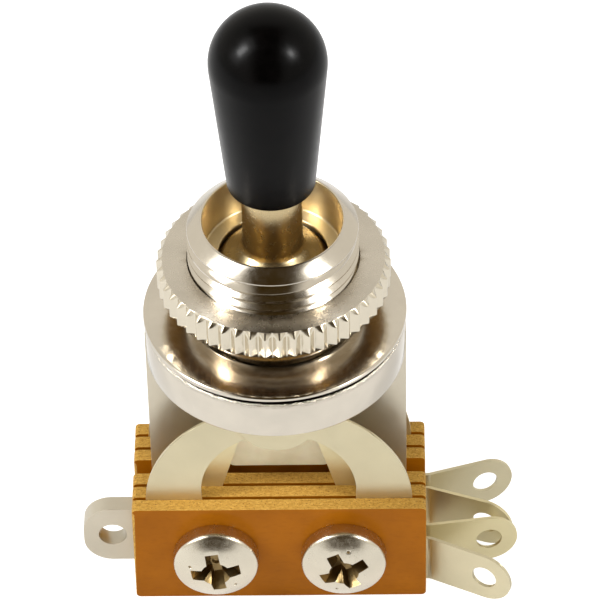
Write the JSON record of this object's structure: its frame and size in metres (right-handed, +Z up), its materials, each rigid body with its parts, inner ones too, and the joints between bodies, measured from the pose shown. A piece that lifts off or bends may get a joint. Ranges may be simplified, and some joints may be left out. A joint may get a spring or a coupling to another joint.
{
  "type": "panel toggle switch",
  "caption": "Panel toggle switch: black tapered lever knob, threaded bushing with round knurled nut and washer, and leaf contacts clamped between brown boards on a plate frame.",
  "frame": {"origin": "on the barrel's axis at the flange's upper face, the shoulder that the panel is clamped against", "axes": "+Z up the barrel towards the knob, X along the contact boards with the four contact lugs at +X, Y across the boards, the way the lever swings"},
  "size_m": [0.032, 0.0186, 0.0515],
  "materials": {
    "bushing_plated": "bright nickel plate on turned brass",
    "nut_plated": "bright nickel plate, straight knurl",
    "washer_plated": "bright nickel plate",
    "frame_steel": "nickel-plated sheet steel",
    "pin_steel": "hardened steel, ground",
    "lever_plated": "nickel-plated turned steel",
    "knob_black": "moulded black plastic, semi-gloss",
    "actuator_nylon": "moulded natural nylon",
    "phenolic_board": "punched phenolic paper board, glossy faces and sawn edges",
    "arched_leaf": "nickel-silver spring sheet",
    "forked_leaf": "nickel-silver spring sheet",
    "silver_contact": "fine silver",
    "screw_steel": "nickel-plated steel",
    "sleeve_fibre": "fibre insulating tube",
    "hex_nut_steel": "nickel-plated steel"
  },
  "bodies": {
    "base": {"bushing": "bushing_plated", "round_nut": "nut_plated", "dress_washer": "washer_plated", "frame_plate": "frame_steel", "pivot_pin": "pin_steel", "board_front": "phenolic_board", "board_front_mid": "phenolic_board", "board_front_inner": "phenolic_board", "board_rear_inner": "phenolic_board", "board_rear_mid": "phenolic_board", "board_rear": "phenolic_board", "leaf_front_outer": "arched_leaf", "leaf_front_inner": "forked_leaf", "leaf_rear_inner": "forked_leaf", "leaf_rear_outer": "arched_leaf", "contacts_front": "silver_contact", "contacts_rear": "silver_contact", "screw_left": "screw_steel", "screw_right": "screw_steel", "sleeve_left": "sleeve_fibre", "sleeve_right": "sleeve_fibre", "hex_nut_left": "hex_nut_steel", "hex_nut_right": "hex_nut_steel"},
    "lever": {"lever": "lever_plated", "knob": "knob_black", "actuator": "actuator_nylon"}
  },
  "joints": [
    {"name": "lever_swing", "type": "hinge", "parent": "base", "child": "lever", "pos_m": [0, 0, 0.0029], "axis": [1, 0, 0], "range_deg": [-10, 10]}
  ]
}
